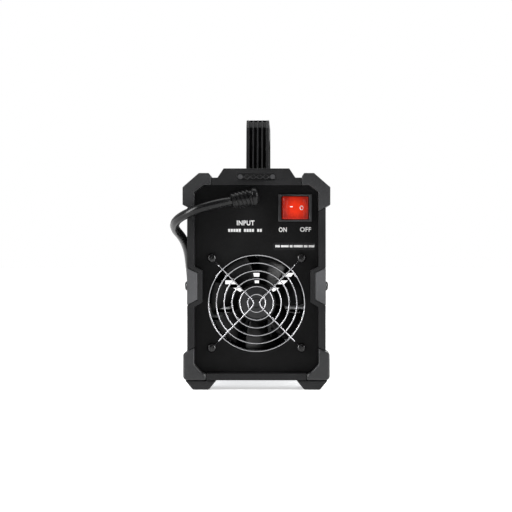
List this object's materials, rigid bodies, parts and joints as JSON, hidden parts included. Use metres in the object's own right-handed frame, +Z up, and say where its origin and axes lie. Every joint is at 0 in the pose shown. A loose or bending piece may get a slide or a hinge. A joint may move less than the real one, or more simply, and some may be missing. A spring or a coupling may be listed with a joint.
{
  "type": "stick welding inverter",
  "caption": "Portable stick welding inverter: steel case between moulded end frames, with a fan and wire guard, rocker switch, coiled mains lead, carry handle, current knob and output sockets.",
  "frame": {"origin": "on the floor under the middle of the case, halfway between the end frames", "axes": "+Z up; -Y is the rear, with the fan, switch and mains lead; +Y is the front, with the knob and sockets; +X is to the right of someone who looks at the rear"},
  "size_m": [0.1475, 0.4785, 0.2535],
  "materials": {
    "frame_plastic": "dark grey satin moulded plastic with a fine grain",
    "guard_plastic": "dark grey satin moulded plastic",
    "clip_plastic": "mid grey satin plastic",
    "foot_rubber": "matt black rubber",
    "powder_coat": "black powder coat with a fine texture",
    "zinc_steel": "zinc-plated steel",
    "chrome_wire": "bright chrome plate",
    "black_screw": "black plated steel, semi-gloss",
    "fan_plastic": "black moulded plastic, semi-gloss",
    "switch_plastic": "dark grey plastic",
    "rocker_red": "translucent red plastic, glossy",
    "lead_rubber": "black rubber",
    "handle_plastic": "black-grey moulded plastic with a fine grain",
    "knob_plastic": "black plastic",
    "display_plastic": "dark red tinted window",
    "lamp_amber": "amber lens",
    "brass": "turned brass",
    "board_laminate": "green circuit board laminate",
    "aluminium": "extruded aluminium",
    "ferrite": "dark grey ferrite",
    "capacitor_sleeve": "dark blue sleeve",
    "copper": "enamelled copper wire"
  },
  "bodies": {
    "case": {"base_tray": "zinc_steel", "carry_handle": "handle_plastic", "cord_grip": "lead_rubber", "cord_grip_nut": "zinc_steel", "cord_tie": "lead_rubber", "display_window": "display_plastic", "fan_frame": "fan_plastic", "fan_guard": "chrome_wire", "fan_screw_lower_left": "black_screw", "fan_screw_lower_right": "black_screw", "fan_screw_upper_left": "black_screw", "fan_screw_upper_right": "black_screw", "front_clip_left": "clip_plastic", "front_clip_right": "clip_plastic", "front_clip_screw_left": "black_screw", "front_clip_screw_right": "black_screw", "front_end_frame": "frame_plastic", "front_foot_left": "foot_rubber", "front_foot_right": "foot_rubber", "front_lower_guard_left": "guard_plastic", "front_lower_guard_right": "guard_plastic", "front_panel": "powder_coat", "front_upper_guard_left": "guard_plastic", "front_upper_guard_right": "guard_plastic", "handle_screw_front": "zinc_steel", "handle_screw_rear": "zinc_steel", "heat_sink_left": "aluminium", "heat_sink_right": "aluminium", "housing_cover": "powder_coat", "main_board": "board_laminate", "main_transformer": "ferrite", "mains_plug": "lead_rubber", "output_choke": "copper", "output_socket_minus_collar": "knob_plastic", "output_socket_minus_insert": "brass", "output_socket_plus_collar": "knob_plastic", "output_socket_plus_insert": "brass", "potentiometer": "zinc_steel", "power_cord": "lead_rubber", "power_cord_coil": "lead_rubber", "rear_clip_left": "clip_plastic", "rear_clip_right": "clip_plastic", "rear_clip_screw_left": "black_screw", "rear_clip_screw_right": "black_screw", "rear_end_frame": "frame_plastic", "rear_foot_left": "foot_rubber", "rear_foot_right": "foot_rubber", "rear_lower_guard_left": "guard_plastic", "rear_lower_guard_right": "guard_plastic", "rear_panel": "powder_coat", "rear_upper_guard_left": "guard_plastic", "rear_upper_guard_right": "guard_plastic", "reservoir_capacitor_left": "capacitor_sleeve", "reservoir_capacitor_right": "capacitor_sleeve", "switch_frame": "switch_plastic", "warning_lamp": "lamp_amber"},
    "impeller": {"fan_impeller": "fan_plastic"},
    "rocker": {"switch_rocker": "rocker_red"},
    "knob": {"current_knob": "knob_plastic"}
  },
  "joints": [
    {"name": "impeller_spin", "type": "hinge", "parent": "case", "child": "impeller", "pos_m": [0, -0.1137, 0.0789], "axis": [0, -1, 0], "continuous": true},
    {"name": "rocker_tilt", "type": "hinge", "parent": "case", "child": "rocker", "pos_m": [0.0354, -0.13, 0.1664], "axis": [0, 0, -1], "range_deg": [0, 20]},
    {"name": "knob_turn", "type": "hinge", "parent": "case", "child": "knob", "pos_m": [0, 0.119, 0.128], "axis": [0, -1, 0], "range_deg": [-135, 135]}
  ]
}
